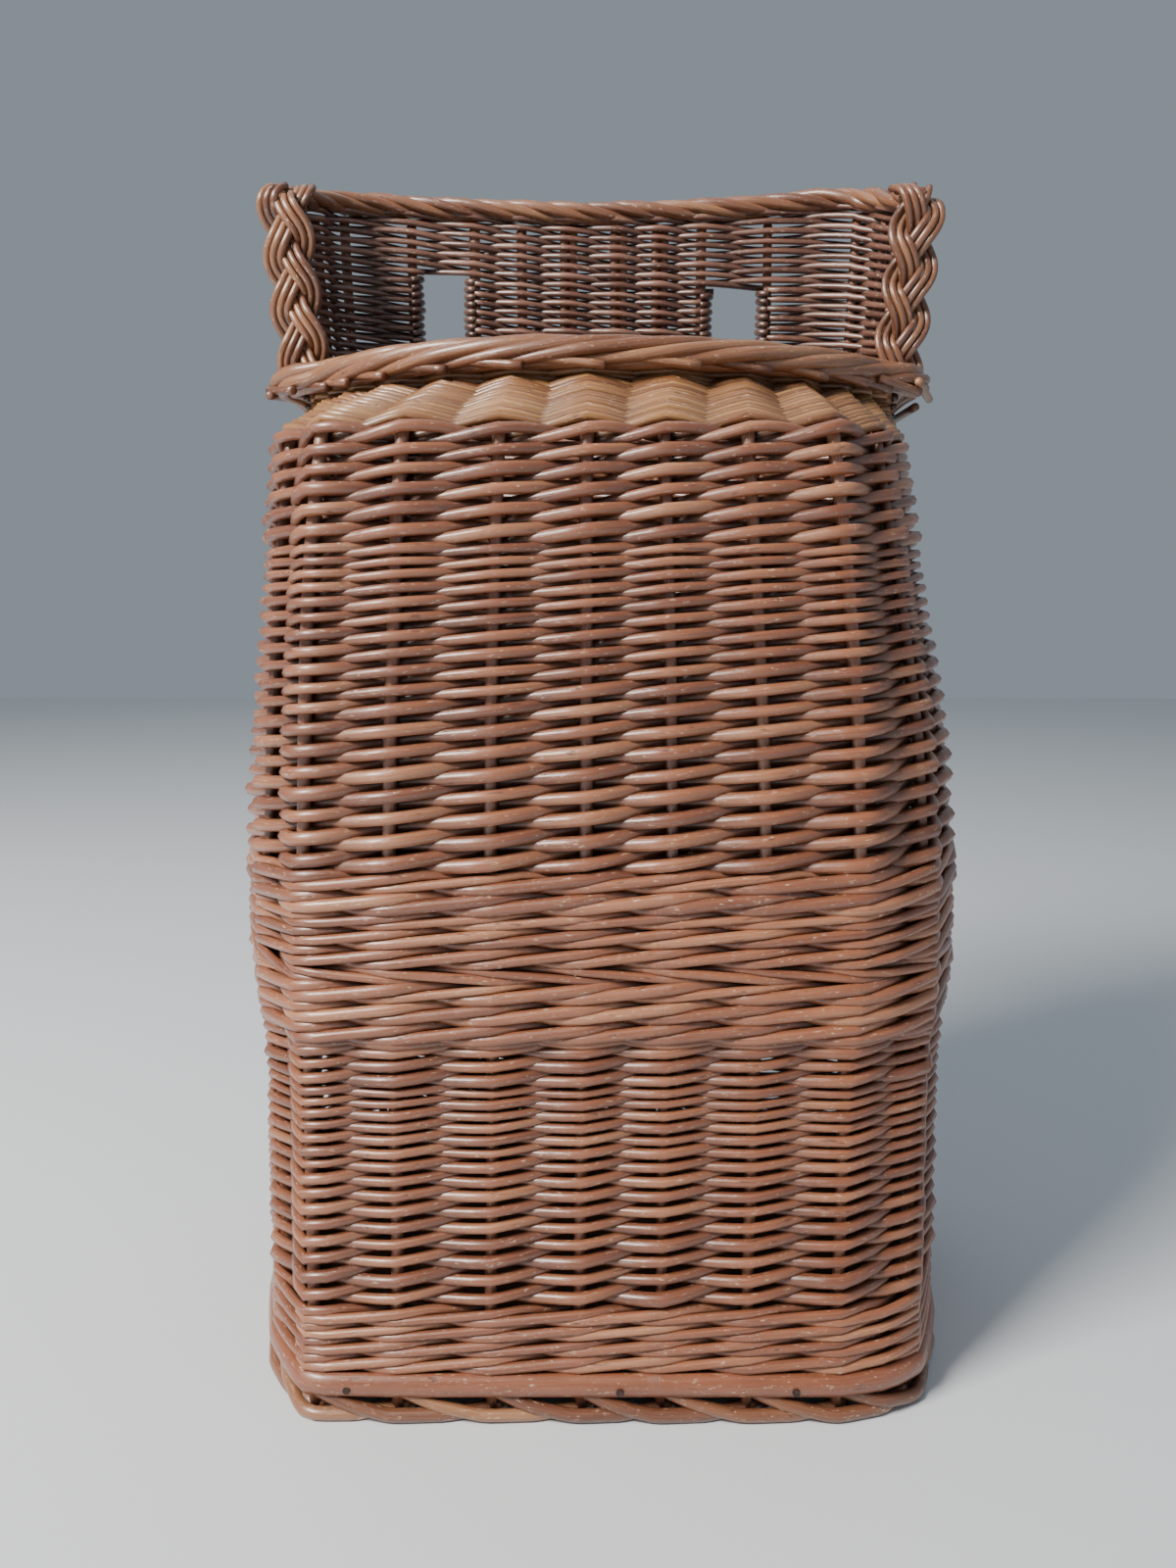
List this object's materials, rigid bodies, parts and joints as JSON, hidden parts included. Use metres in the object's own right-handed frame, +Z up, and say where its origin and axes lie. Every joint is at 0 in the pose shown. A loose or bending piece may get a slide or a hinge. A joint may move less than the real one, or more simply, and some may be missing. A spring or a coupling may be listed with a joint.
{
  "type": "back basket",
  "caption": "Wicker basket carried on the back: flat raised back with strap slots and wings, woven belt at the waist, sloping shoulder, and a foot woven under a nailed wooden hoop.",
  "frame": {"origin": "on the ground, under the middle of the basket's outline", "axes": "+Z up; +X to the basket's left wing as it is worn, which is the right as it is seen from the front; +Y out of the flat back, towards the wearer"},
  "size_m": [0.3849, 0.2342, 0.6245],
  "materials": {
    "willow": "varnished",
    "stake_willow": "varnished",
    "split_willow": "varnished",
    "board": "raw",
    "iron": "dull"
  },
  "bodies": {
    "root": {"base_board": "board", "foot_border": "willow", "base_hoop": "split_willow", "nail_front_right": "iron", "nail_right_side": "iron", "nail_back_right": "iron", "nail_back_middle": "iron", "nail_back_left": "iron", "nail_left_side": "iron", "nail_front_left": "iron", "nail_front_middle": "iron", "stake_01": "stake_willow", "stake_02": "stake_willow", "stake_03": "stake_willow", "stake_04": "stake_willow", "stake_05": "stake_willow", "stake_06": "stake_willow", "stake_07": "stake_willow", "stake_08": "stake_willow", "stake_09": "stake_willow", "stake_10": "stake_willow", "stake_11": "stake_willow", "stake_12": "stake_willow", "stake_13": "stake_willow", "stake_14": "stake_willow", "stake_15": "stake_willow", "stake_16": "stake_willow", "stake_17": "stake_willow", "stake_18": "stake_willow", "stake_19": "stake_willow", "stake_20": "stake_willow", "stake_21": "stake_willow", "stake_22": "stake_willow", "stake_23": "stake_willow", "stake_24": "stake_willow", "stake_25": "stake_willow", "stake_26": "stake_willow", "stake_27": "stake_willow", "foot_wale": "willow", "lower_siding": "willow", "waist_wale": "willow", "upper_siding": "willow", "shoulder_weave": "willow", "right_wing": "willow", "back_panel": "willow", "left_wing": "willow", "rim_border": "willow", "top_border": "willow", "left_wing_plait": "willow", "right_wing_plait": "willow"}
  },
  "joints": []
}
